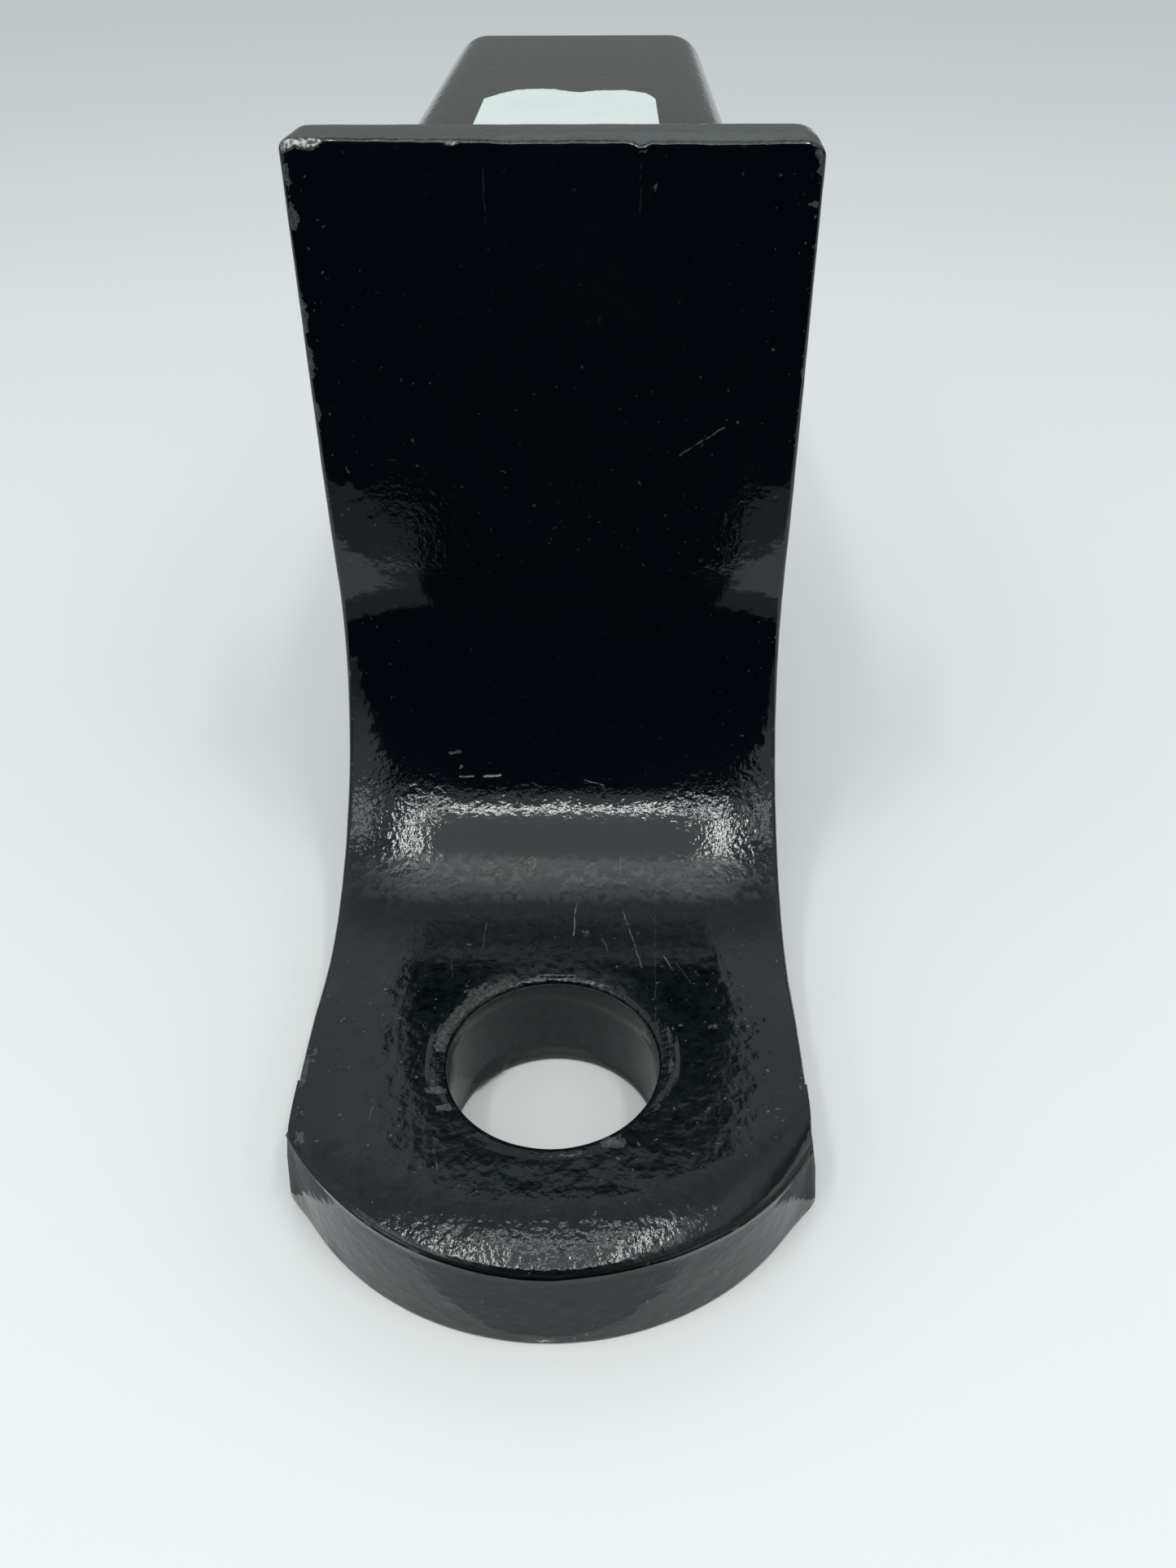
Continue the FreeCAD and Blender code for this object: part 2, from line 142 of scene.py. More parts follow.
class Wire:
    """A number or vector in a material: + - * / add the nodes."""

    def __init__(self, shade, socket):
        self.shade, self.socket = shade, socket

    def math(self, operation, first, second=None):
        sockets = {0: first} if second is None else {0: first, 1: second}
        return self.shade.add("Math", {"operation": operation}, sockets)

    def __add__(self, other):
        return self.math("ADD", self, other)

    __radd__ = __add__

    def __sub__(self, other):
        return self.math("SUBTRACT", self, other)

    def __rsub__(self, other):
        return self.math("SUBTRACT", other, self)

    def __mul__(self, other):
        return self.math("MULTIPLY", self, other)

    __rmul__ = __mul__

    def at_most(self, other):
        return self.math("MINIMUM", self, other)

    def at_least(self, other):
        return self.math("MAXIMUM", self, other)

    def step(self, low, high):
        """0 below low, 1 above high, and smooth between them."""
        return self.shade.add("MapRange", {"interpolation_type": "SMOOTHSTEP"},
                              {"Value": self, "From Min": low, "From Max": high})

    def ridge(self):
        """1 on thin crests where a noise passes its middle, less beside them."""
        return 1.0 - self.math("ABSOLUTE", self - 0.5) * 2.0

    def vector(self, operation, other=None, scale=None):
        sockets = {0: self}
        if other is not None:
            sockets[1] = other
        if scale is not None:
            sockets["Scale"] = scale
        out = "Value" if operation in ("DOT_PRODUCT", "LENGTH") else "Vector"
        return self.shade.add("VectorMath", {"operation": operation}, sockets, out)


class Shade:
    """The nodes of one material, or of the world."""

    def __init__(self, owner):
        owner.use_nodes = True
        self.owner, self.tree = owner, owner.node_tree
        self.tree.nodes.clear()

    def add(self, kind, settings=None, sockets=None, out=0):
        """A node: its settings first (stops are a ramp's), then values or wires for its sockets."""
        node = self.tree.nodes.new("ShaderNode" + kind)
        for name, value in (settings or {}).items():
            if name != "stops":
                setattr(node, name, value)
                continue
            stops = node.color_ramp.elements
            while len(stops) < len(value):
                stops.new(0.5)
            for stop, (position, colour) in zip(stops, value):
                stop.position, stop.color = position, colour
        for name, value in (sockets or {}).items():
            if isinstance(value, Wire):
                self.tree.links.new(value.socket, node.inputs[name])
            else:
                node.inputs[name].default_value = value
        return Wire(self, node.outputs[out]) if node.outputs else None

    def place(self, out="Object"):
        return self.add("TexCoord", out=out)

    def noise(self, size, detail=2.0, roughness=0.5):
        """Noise with lumps of about this size in mm, from 0 to 1."""
        return self.add("TexNoise", {"noise_dimensions": "3D"}, {
            "Vector": self.place(), "Scale": 1 / (size * MM), "Detail": detail, "Roughness": roughness})

    def mix(self, factor, first, second):
        """Between two colours."""
        return self.add("Mix", {"data_type": "RGBA"}, {0: factor, 6: first, 7: second}, out=2)

    def attribute(self, name):
        return self.add("Attribute", {"attribute_name": name}, out="Fac")

    def bump(self, height, distance_mm, normal=None):
        sockets = {"Height": height, "Distance": distance_mm * MM, "Strength": 1.0}
        if normal is not None:
            sockets["Normal"] = normal
        return self.add("Bump", None, sockets)

    def scratch(self, where, start, stop, width):
        """1 on a line of this width in mm between two places of the unrolled bar."""
        line = Vector((*stop, 0)) * MM - Vector((*start, 0)) * MM
        offset = where.vector("SUBTRACT", Vector((*start, 0)) * MM)
        share = (offset.vector("DOT_PRODUCT", line) * (1 / line.length_squared)).at_least(0.0).at_most(1.0)
        foot = self.add("VectorMath", {"operation": "SCALE"}, {0: line, "Scale": share})
        away = offset.vector("SUBTRACT", foot).vector("LENGTH")
        return 1.0 - away.step(width * MM * 0.3, width * MM * 0.7)

    def finish(self, **sockets):
        """The Principled shader, with names such as Base_Color, and the output."""
        named = {name.replace("_", " "): value for name, value in sockets.items()}
        shader = self.add("BsdfPrincipled", None, named)
        self.add("OutputMaterial", None, {"Surface": shader})
        return self.owner


def grey(value, green=1.0, blue=1.0):
    return (value, value * green, value * blue, 1.0)


BLACK = (0.0008, 0.0020, 0.0036, 1.0)
BLACK_THIN = (0.0022, 0.0040, 0.0056, 1.0)
BLACK_WORN = (0.0095, 0.0125, 0.0135, 1.0)
# DUST_AND_PAINTED_SHEEN is real dust behind the hole, and also a painted sheen: on the leg's top end face it
# stands in for the light that face mirrors at a grazing angle
DUST_AND_PAINTED_SHEEN, FINGER_DUST, GRIT = (0.040, 0.047, 0.045, 1.0), grey(0.045, 1.03, 1.0), grey(0.16, 1.08, 1.04)
SCALE_GREY, STEEL_DULL, STEEL_BRIGHT = grey(0.026, 1.12, 1.12), grey(0.062, 1.06, 1.02), grey(0.62, 0.99, 0.93)
SCALE_BROWN, SCALE_DARK = (0.150, 0.136, 0.118, 1.0), (0.050, 0.046, 0.042, 1.0)
# CRACK_AND_GROOVE_SHADE is the near black of real cracks, and also painted shade in the groove along the crease
SCRATCHED, CRACK_AND_GROOVE_SHADE = grey(0.30), grey(0.0008)
PAPER, PAPER_STAINED, PAPER_TORN = (0.74, 0.77, 0.755, 1.0), (0.63, 0.66, 0.645, 1.0), (0.60, 0.61, 0.585, 1.0)

# Scratches on the front of the unrolled bar: two ends as (across, along) and width in mm, and their strength
SCRATCHES = (
    ((19.4, 46.0), (26.2, 41.3), 0.24, 0.35), ((-18.0, 103.7), (-15.6, 103.6), 0.30, 0.5),
    ((-13.6, 103.7), (-10.8, 103.5), 0.34, 1.0), ((4.2, 104.3), (7.6, 105.2), 0.20, 0.3),
    ((25.2, 107.6), (27.4, 107.3), 0.25, 1.0), ((2.95, 126.9), (2.6, 133.4), 0.20, 0.9),
    ((10.9, 128.2), (14.1, 140.1), 0.18, 0.55), ((17.6, 137.5), (20.0, 142.4), 0.18, 0.6),
    ((19.6, 138.8), (22.0, 143.5), 0.16, 0.25), ((-9.7, 3.7), (-9.6, 11.2), 0.16, 0.10),
    ((12.4, 2.2), (12.3, 9.6), 0.16, 0.08), ((16.5, 124.8), (15.7, 160.5), 0.16, 0.16),
    ((3.9, 119.5), (3.3, 123.5), 0.18, 0.35), ((5.9, 120.3), (5.4, 123.2), 0.18, 0.30),
    ((10.6, 118.6), (10.4, 121.6), 0.18, 0.30), ((7.4, 133.8), (8.6, 137.0), 0.18, 0.40),
    ((-12.2, 131.0), (-12.6, 136.4), 0.16, 0.22), ((-17.6, 138.0), (-17.0, 142.5), 0.16, 0.22),
    ((-26.0, 168.0), (-26.4, 171.2), 0.18, 0.30), ((-16.4, 176.4), (-15.3, 180.0), 0.18, 0.35),
)


def black_paint(name, bar_marks):
    """Thick gloss black paint with orange peel, and on the bar its chips, cracks and scratches, painted shade
    in the crease groove and a painted sheen on the top end face.
    """
    s = Shade(bpy.data.materials.new(name))
    waves = s.noise(9.0)
    fine = s.noise(0.5)
    thick = s.noise(26.0)
    crackle = s.noise(1.25, 2.5, 0.55) + s.noise(1.7, 1.0).ridge() * 0.55 + fine * 0.22
    pebble = s.noise(2.7, 1.5, 0.5)
    mottle = s.noise(1.7, 4.0, 0.6)
    colour = s.mix(thick.step(0.35, 0.7) * 0.6 + mottle.step(0.45, 0.75) * 0.4, BLACK, BLACK_THIN)
    rough = 0.03 + waves * 0.04 + fine * 0.03
    if not bar_marks:
        dust = smudges(s)
        colour = s.mix(dust * 0.55, colour, FINGER_DUST)
        normal = s.bump(crackle * 0.35 + pebble, 0.085)
        return s.finish(Base_Color=colour, Roughness=rough + dust * 0.3, Normal=normal)
    grain = s.noise(1.0, 4.0, 0.65)
    edge = (grain - 0.5) * 1.3
    lines = scratches(s) * grain.step(0.30, 0.52)
    bare = (s.attribute("bare") + edge).step(0.47, 0.53)
    brown = (s.attribute("brown") + edge * 0.6).step(0.47, 0.53)
    # the next field holds the shoulder cracks and the painted shade of the crease groove
    fold = s.attribute("fold")
    worn = s.attribute("worn")
    # the next field is dust behind the hole, and a painted sheen over the whole top end face
    dust = s.attribute("dust") * s.noise(1.1, 4.0, 0.7).step(0.34, 0.66)
    dull = s.attribute("dull") * (mottle.step(0.40, 0.60) * 0.6 + 0.4)
    speck = s.noise(0.6, 3.0).step(0.38, 0.66)
    grit = s.noise(0.9, 1.0).step(0.745, 0.775) * s.attribute("pebble") * 0.9
    steel = s.mix(speck, SCALE_GREY, STEEL_DULL)
    steel = s.mix(s.attribute("bare").step(0.88, 1.05) * speck, steel, STEEL_BRIGHT)
    colour = s.mix(worn * mottle.step(0.30, 0.62), colour, BLACK_WORN)
    colour = s.mix(dust, colour, DUST_AND_PAINTED_SHEEN)
    colour = s.mix(grit, colour, GRIT)
    colour = s.mix(lines * 0.55, colour, SCRATCHED)
    colour = s.mix(bare, colour, steel)
    colour = s.mix(brown, colour, s.mix(speck, SCALE_DARK, SCALE_BROWN))
    colour = s.mix(fold, colour, CRACK_AND_GROOVE_SHADE)
    rough = rough + bare * 0.30 + brown * 0.45 + fold * 0.5 + worn * 0.10 + lines * 0.2
    rough = rough + dust * 0.3 + dull * 0.26
    height = crackle * s.attribute("crackle") * 0.24 + pebble * s.attribute("pebble") * 0.20
    normal = s.bump(height, 1.0)
    normal = s.bump(bare.at_least(brown).at_least(lines * 0.4) * -1.0, 0.07, normal)
    return s.finish(Base_Color=colour, Roughness=rough, Normal=normal)


def scratches(s):
    """The scratches, each with its own strength, on lines that wander a little."""
    place = s.add("UVMap", {"uv_map": "unrolled"})
    wander = s.add("TexNoise", {"noise_dimensions": "3D"}, {"Vector": place, "Scale": 450.0}, out="Color")
    place = place.vector("ADD", wander.vector("SUBTRACT", (0.5, 0.5, 0.5)).vector("SCALE", scale=0.7 * MM))
    lines = None
    for start, stop, width, strength in SCRATCHES:
        line = s.scratch(place, start, stop, width) * strength
        lines = line if lines is None else lines.at_least(line)
    return lines


# Finger marks on top of the shank: place and radius in mm
SMUDGES = (((-8.6, -96.0, 31.7), 5.0), ((-3.5, -99.5, 31.7), 4.0), ((10.0, -97.0, 31.7), 3.5),
           ((22.0, -60.0, 31.7), 4.0), ((-23.5, -45.0, 31.7), 5.0))


def smudges(s):
    """Dusty finger marks on top of the shank, from 0 to 1."""
    marks = None
    for place, size in SMUDGES:
        away = s.place().vector("SUBTRACT", Vector(place) * MM).vector("LENGTH")
        mark = 1.0 - away.step(size * MM * 0.3, size * MM)
        marks = mark if marks is None else marks.at_least(mark)
    return marks * s.noise(1.6, 4.0, 0.65).step(0.42, 0.72)


def weld_paint():
    s = Shade(bpy.data.materials.new("weld_paint"))
    dirt = s.noise(7.0, 3.0)
    colour = s.mix(dirt.step(0.45, 0.75), BLACK, BLACK_THIN)
    return s.finish(Base_Color=colour, Roughness=0.14 + dirt * 0.12, Normal=s.bump(s.noise(1.8), 0.07))


def label_paper():
    s = Shade(bpy.data.materials.new("label_paper"))
    fibre = s.noise(0.8, 4.0, 0.7)
    stain = s.noise(9.0, 3.0, 0.6)
    crumple = s.noise(6.0, 2.0, 0.5)
    torn = (s.attribute("torn") + (fibre - 0.5) * 0.7).step(0.42, 0.62)
    colour = s.mix(stain.step(0.5, 0.8) * 0.5, PAPER, PAPER_STAINED)
    colour = s.mix(torn, colour, PAPER_TORN)
    return s.finish(Base_Color=colour, Roughness=0.62 + fibre * 0.2,
                    Normal=s.bump(fibre * 0.3 + crumple, 0.12))


# Drawbar, first as a straight bar: across, along its front face from the top, and through its thickness

ROLL_LINES = (0.0, 0.36, 0.66, 0.84, EDGE_ROLL)   # grid lines over a rolled edge
GRID = 0.8087                                     # squares of the faces round the hole
HOLE_RING, HOLE_BLEND, HOLE_AHEAD = 20, 30, 34    # squares out to the rim, to the plain grid, and to the leg's
ROW, LEG_SQUARE, LIP_SQUARE = 0.784, 0.85, 0.36


def bar_columns():
    inner = even(-HALF + EDGE_ROLL, HALF - EDGE_ROLL, GRID)
    return [-HALF + d for d in ROLL_LINES[:-1]] + inner + [HALF - d for d in reversed(ROLL_LINES[:-1])]


def bar_rows():
    inner = even(EDGE_ROLL, THICK - EDGE_ROLL, ROW)
    return list(ROLL_LINES[:-1]) + inner + [THICK - d for d in reversed(ROLL_LINES[:-1])]


def bar_stations():
    leg = even(EDGE_ROLL, HOLE_S - HOLE_AHEAD * GRID, LEG_SQUARE)
    platform = [HOLE_S + number * GRID for number in range(1 - HOLE_AHEAD, HOLE_BLEND + 1)]
    ahead = even(platform[-1], LIP_START, GRID)[1:]
    lip = even(LIP_START, BAR_END, LIP_SQUARE)[1:]
    return list(ROLL_LINES[:-1]) + leg + platform + ahead + lip


def straight_bar():
    """The straight bar as one closed grid."""
    columns, rows, stations = bar_columns(), bar_rows(), bar_stations()
    bm = bmesh.new()
    bmesh.ops.create_grid(bm, x_segments=len(columns) - 1, y_segments=len(rows) - 1, size=1.0)
    for v in bm.verts:
        column = round((v.co.x + 1) / 2 * (len(columns) - 1))
        row = round((v.co.y + 1) / 2 * (len(rows) - 1))
        v.co = Vector((columns[column], stations[0], rows[row]))
    far_end = bmesh.ops.duplicate(bm, geom=bm.verts[:] + bm.edges[:] + bm.faces[:])["geom"]
    for v in made_verts(far_end):
        v.co.y = stations[-1]
    loop = [edge for edge in bm.edges if edge.is_boundary and edge.verts[0].co.y < 1]
    for station in stations[1:]:
        made = bmesh.ops.extrude_edge_only(bm, edges=loop)["geom"]
        for v in made_verts(made):
            v.co.y = station
        loop = made_edges(made)
    bmesh.ops.remove_doubles(bm, verts=bm.verts[:], dist=TOUCH / 10)
    return bm


def nose_edge(x):
    """Where the nose's arc is at this distance across, as a distance along y."""
    return NOSE_CENTRE - math.sqrt(NOSE_R * NOSE_R - x * x)


def lip_profile(length):
    """Radius and fall of the lip's surface at this length along it."""
    broad = LIP_BROAD * LIP_TURN
    start = LIP_SWEEP - LIP_WIDE
    if length <= broad:
        turn = length / LIP_BROAD
        return start + LIP_BROAD * math.sin(turn), LIP_BROAD * (1 - math.cos(turn))
    turn = min(LIP_TURN + (length - broad) / LIP_TIGHT, math.pi / 2)
    radius = start + LIP_BROAD * math.sin(LIP_TURN) + LIP_TIGHT * (math.sin(turn) - math.sin(LIP_TURN))
    fall = LIP_BROAD * (1 - math.cos(LIP_TURN)) + LIP_TIGHT * (math.cos(LIP_TURN) - math.cos(turn))
    return radius, fall


LIP_LENGTH = LIP_BROAD * LIP_TURN + LIP_TIGHT * (math.pi / 2 - LIP_TURN)

# Where the sheared face begins below the platform's top: the cut drew the lip further down on the right
CREASE = ((-38.1, 1.1), (-34.0, 0.75), (-30.0, 0.65), (-26.7, 0.95), (-24.0, 1.4), (-21.0, 1.75), (-17.0, 2.1),
          (-12.0, 2.5), (-8.0, 2.75), (-3.0, 3.05), (1.5, 3.1), (6.0, 2.8), (12.0, 2.8), (18.0, 3.0),
          (23.0, 3.2), (27.0, 3.6), (31.6, 3.9), (35.0, 4.1), (38.1, 3.8))


def lip_end(x):
    """How much of the lip's length is there at this distance across."""
    reach = math.hypot(x, nose_edge(x) - SWEEP_Y)
    low, high = 0.0, LIP_LENGTH
    for _ in range(30):   # halved until far below a micrometre
        middle = (low + high) / 2
        if lip_profile(middle)[0] < reach:
            low = middle
        else:
            high = middle
    return low


def lip_place(x, share):
    """Distance along y and fall of the lip at this distance across, from its start to the crease."""
    end = lip_end(x)
    reach, fall = lip_profile(share * end)
    missing = along(CREASE, x) - lip_profile(end)[1]
    fall += missing * share ** (2.4 if missing > 0 else 5.0)   # drawn down gently, raised only at the end
    return SWEEP_Y - math.sqrt(max(reach * reach - x * x, 0.0)), max(fall, 0.0)


def ear_shift(x, y, through):
    """How the torn shoulder moves a point of the sides, the underside or the sheared face, in plan."""
    share = along(EAR_SHARES, THICK - through)
    reach = EAR_SPREAD * share
    across = abs(x)
    if share < 0.02 or across < HALF - reach:
        return 0.0, 0.0
    t = clamp((across - (HALF - reach)) / reach)
    start = nose_edge(across)
    left = 1 - clamp((y - start) / (EAR_LENGTH * share))
    facet = blend(SHOULDER - EAR_FRONT * share, SHOULDER + EAR_BACK, t)
    return math.copysign(t * reach * left, x), (facet - start) * left


def plan_place(x, s):
    """Where a point of the platform's faces lies in plan: the rows curve more and more towards the lip."""
    start = SWEEP_Y - math.sqrt((LIP_SWEEP - LIP_WIDE) ** 2 - x * x)
    return x, blend(BEND_Y, start, clamp((s - BEND_END) / (LIP_START - BEND_END)))


def hole_place(x, s, radius):
    """The same, with the grid's squares round the hole eased into circles."""
    dx, dy = x, s - HOLE_S
    ring = max(abs(dx), abs(dy)) / GRID
    if ring >= HOLE_BLEND - TOUCH:
        return plan_place(x, s)
    t = max(0.0, (ring - HOLE_RING) / (HOLE_BLEND - HOLE_RING))
    out = HOLE_BLEND / max(ring, TOUCH)
    outer = plan_place(dx * out, HOLE_S + dy * out)
    length = math.hypot(dx, dy) or 1.0
    inner = (dx / length * radius, HOLE_Y - dy / length * radius)
    return blend(inner[0], outer[0], t), blend(inner[1], outer[1], t)


def roll_edges(x, s, through):
    """Round the bar's long edges and its top end."""
    side = 1 if x > 0 else -1
    inset = [EDGE_ROLL - (HALF - abs(x)), EDGE_ROLL - s, EDGE_ROLL - min(through, THICK - through)]
    inset = [max(0.0, value) for value in inset]
    if sum(1 for value in inset if value > 0) < 2 or (s > LIP_START - 4 and through < THICK / 2):
        return x, s, through
    scale = EDGE_ROLL / math.sqrt(sum(value * value for value in inset))
    if inset[0] > 0:
        x = side * (HALF - EDGE_ROLL + inset[0] * scale)
    if inset[1] > 0:
        s = EDGE_ROLL - inset[1] * scale
    if inset[2] > 0:
        moved = EDGE_ROLL - inset[2] * scale
        through = moved if through < THICK / 2 else THICK - moved
    return x, s, through


def top_end_fall(x, s, through):
    """How far the sheared end lies below the straight cut: land, broken part, worn corners and a dent."""
    fall = SHEAR_FALL * min(through, SHEAR_LAND) / SHEAR_LAND
    fall += BREAK_FALL * max(0.0, through - SHEAR_LAND) / (THICK - SHEAR_LAND)
    fall += 1.3 * max(0.0, (x - 35.0) / 3.1) ** 2 + 0.7 * max(0.0, (-x - 36.0) / 2.1) ** 2
    place = (x, 0, through)
    front = 0.45 * ease(x, -32.0, 10.0) + 0.55 * hump(x, 12.2, 12.6, 1.3)
    front += 0.12 * ripple(place, 2.2, 5.0) + 0.18 * ripple(place, 8.0, 8.0)
    fall += front * (1 - ease(through, 0.5, 6.0))
    return fall * (1 - ease(s, 0.0, 12.0))


def front_hollow(x, s):
    """How far the front face lies behind its plane: soft edges along the bend, and the dent at the top."""
    share = ease(s, 45.0, 88.0) * (1 - ease(s, 128.0, 160.0))
    hollow = share * max(0.0, abs(x) - 22.0) ** 2 / 160.0
    return hollow + (0.14 + 0.14 * ripple((x, 0, 0), 5.0, 3.0)) * (1 - ease(s, 0.6, 2.6))


def forge(x, s, through):
    """From the straight bar to the finished shape, in mm."""
    s0, t0 = s, through
    x, s, through = roll_edges(x, s, through)
    through += front_hollow(x, s) * (1 - through / THICK)
    if s0 < LEG_END:
        return Vector((x, LEG_FRONT + through, LEG_TOP - s - top_end_fall(x, s, through)))
    if s0 < BEND_END:
        angle = (s - LEG_END) / BEND_R
        reach = BEND_R + through
        return Vector((x, BEND_Y + reach * math.cos(angle), BEND_Z - reach * math.sin(angle)))
    on_top = t0 < TOUCH
    under = t0 > THICK - TOUCH
    x = clamp(x, -HALF, HALF)
    fall = 0.0
    if s0 <= LIP_START + TOUCH:
        if on_top or under:
            x, y = hole_place(x, s, HOLE_R + (RIM_ROLL if on_top else RIM_BREAK))
        else:
            x, y = plan_place(x, s)
    else:
        y, fall = lip_place(x, (s0 - LIP_START) / (BAR_END - LIP_START))
    deep = fall + through * (THICK - fall) / THICK
    dx, dy = ear_shift(x, y, through)
    return Vector((x + dx, y + dy, PLATFORM_TOP - deep))


# Chips through the paint: across, along, half width, half length, and how bare the middle is
CHIPS = (
    (-36.9, 0.3, 1.1, 0.8, 2.2), (-34.0, 0.2, 1.9, 0.8, 2.3), (-13.9, 0.3, 0.9, 0.5, 1.5),
    (12.6, 1.1, 0.6, 0.5, 0.9), (37.0, 1.2, 0.7, 0.7, 1.1), (37.5, 3.3, 0.5, 0.8, 0.95),
    (36.9, 8.5, 0.7, 0.6, 0.85), (-37.3, 4.6, 0.8, 1.9, 0.75), (-37.2, 10.2, 0.8, 2.6, 0.8),
    (-37.6, 24.4, 0.7, 3.4, 0.75), (-37.5, 31.0, 0.7, 2.8, 0.8), (-37.5, 39.0, 0.6, 2.0, 0.8),
    (-37.9, 52.0, 0.5, 1.6, 0.7), (37.9, 33.0, 0.5, 1.8, 0.7), (37.9, 58.0, 0.5, 1.3, 0.7),
    (-37.8, 86.0, 0.5, 1.2, 0.75), (37.6, 101.0, 0.5, 0.9, 0.75), (14.8, 6.4, 0.45, 0.6, 0.85),
    (3.8, 18.3, 0.4, 0.4, 0.8), (24.0, 22.5, 0.4, 0.4, 0.7), (-18.8, 99.6, 1.5, 0.6, 0.85),
    (-17.6, 102.1, 0.5, 0.5, 0.8), (31.0, 113.0, 0.5, 0.5, 0.7), (-24.5, 117.0, 0.5, 0.5, 0.7),
    (-7.6, 126.0, 2.6, 0.45, 0.62), (-19.6, 126.2, 1.2, 0.45, 0.62), (4.6, 132.8, 1.0, 0.7, 0.7),
    (6.9, 133.4, 0.35, 0.35, 1.2), (-37.4, 162.2, 0.7, 3.6, 0.8), (-36.3, 158.6, 0.6, 1.6, 0.75),
    (-36.7, 170.0, 0.5, 0.5, 1.1), (-35.5, 174.3, 0.35, 0.7, 0.9), (-36.7, 174.3, 0.35, 0.7, 0.9),
    (-36.1, 173.5, 0.7, 0.35, 0.9), (-36.1, 175.0, 0.7, 0.35, 0.9), (35.5, 180.2, 0.6, 0.5, 0.75),
    (36.4, 178.0, 0.5, 0.6, 0.7), (37.1, 176.1, 0.5, 0.6, 0.75), (37.7, 173.9, 0.5, 0.6, 0.75),
    (33.5, 182.5, 0.5, 0.4, 0.7), (-20.4, 163.0, 0.4, 0.4, 0.75), (22.4, 170.5, 0.4, 0.4, 0.75),
    (-27.0, 172.0, 0.4, 0.4, 0.7), (-4.6, 178.4, 0.4, 0.4, 0.7), (24.6, 152.6, 1.6, 0.6, 0.62),
    (-24.3, 151.5, 0.9, 0.6, 0.7), (-17.1, 165.7, 1.9, 0.85, 0.85), (-15.3, 168.8, 1.7, 0.8, 0.85),
    (18.1, 160.8, 0.6, 1.6, 0.85), (17.7, 158.0, 0.5, 0.6, 0.8), (15.8, 168.6, 0.8, 0.7, 0.75),
    (9.4, 174.9, 2.3, 1.1, 0.9), (3.4, 177.0, 3.6, 0.55, 0.68), (-7.6, 143.0, 1.5, 1.3, 0.72),
) + tuple((17.7 * math.cos(math.radians(turn)), HOLE_S + 17.7 * math.sin(math.radians(turn)), 1.0, 1.0, 0.92)
          for turn in range(186, 243, 4))

# The same on the sheared face: across, depth below the crease
FACE_CHIPS = (
    (-24.2, 0.2, 0.8, 0.5, 0.95), (-17.6, 0.3, 1.0, 0.45, 0.95), (-9.3, 0.2, 0.5, 0.4, 0.8),
    (26.0, 0.3, 0.7, 0.4, 0.75), (-0.4, 18.4, 2.6, 1.0, 1.05), (6.8, 18.9, 0.7, 0.4, 0.8),
    (-31.5, 17.9, 1.6, 0.8, 0.7),
)

# Mill scale showing through, and cracks where the shoulders tore
BROWN_SPOTS = ((-10.8, 121.6, 1.2, 1.2, 0.95), (-5.1, 119.4, 1.2, 1.5, 0.95), (30.0, 151.0, 0.6, 0.5, 0.75))
SHOULDER_CRACKS = ((-42.6, 176.6, 1.9, 0.55, 0.9), (42.2, 177.4, 2.4, 0.6, 0.95), (-45.8, 173.0, 1.2, 0.5, 0.7))


def mark(marks, across, height):
    """How strongly the marks show at a place: their middle's strength, half of it at their outline."""
    strongest = 0.0
    for x, s, half_x, half_s, strength in marks:
        dx, ds = (across - x) / half_x, (height - s) / half_s
        away = dx * dx + ds * ds
        if away < 2.0:
            strongest = max(strongest, strength * (1 - away / 2))
    return strongest


def uneven_paint(x, s):
    """1 in the middle of the leg, where the paint is rippled."""
    return hump(x, -27.0, 29.0, 6.0) * hump(s, 33.0, 63.0, 5.0)


def crackle_share(x, s):
    """Fine crackle of the paint: strong along the bend and the lip, faint on the leg."""
    bend = (0.09 + 0.22 * ease(abs(x), 17.0, 23.0)) * hump(s, 104.0, 121.0, 6.0)
    lip = ease(s, 181.0, 187.0)
    platform = ease(s, 118.0, 135.0) * (1 - lip)
    rim = 1 - ease(math.hypot(x, s - HOLE_S), HOLE_R + 1.4, HOLE_R + 2.4)
    return 0.03 + 0.16 * uneven_paint(x, s) + bend + 0.10 * platform + 0.42 * lip + 0.9 * rim


def pebble_share(x, s):
    """Coarser lumps: on the platform and at the sides of the leg."""
    sides = ease(abs(x), 24.0, 34.0) * (1 - ease(s, 120.0, 140.0))
    return 0.05 + 0.45 * ease(s, 126.0, 140.0) + 0.22 * sides + 0.12 * uneven_paint(x, s)


def lumps(place, x, s, through):
    """How far the surface rises above the smooth shape: soft hammering and thick paint."""
    soft = 0.035 * ripple(place, 11.0, 2.0)
    if through > THICK - TOUCH:
        return soft + 0.05 * ripple(place, 4.5, 3.0)
    rough = blend(0.004, 0.030, ease(s, 128.0, 145.0)) + 0.030 * ease(s, 182.0, 189.0)
    rough += 0.012 * uneven_paint(x, s) + 0.018 * hump(s, 98.0, 120.0, 8.0)
    if through > TOUCH:
        rough = 0.03
    return soft * blend(0.7, 1.3, ease(s, 60.0, 140.0)) + rough * ripple(place, 3.6, 4.0)


def crease_shift(x, s, through):
    """Groove just above the sheared face, whose upper edge stands a little proud of it."""
    depth = 0.16 + 0.10 * ripple((x, 0.0, 0.0), 6.0, 7.0)
    if through < TOUCH:
        return -depth * ease(s, BAR_END - 1.0, BAR_END - 0.3)
    proud = 0.10 + 0.18 * ease(abs(x), 12.0, 26.0)
    return proud * (1 - ease(through, 0.4, 1.7)) * ease(through, 0.0, 0.36)


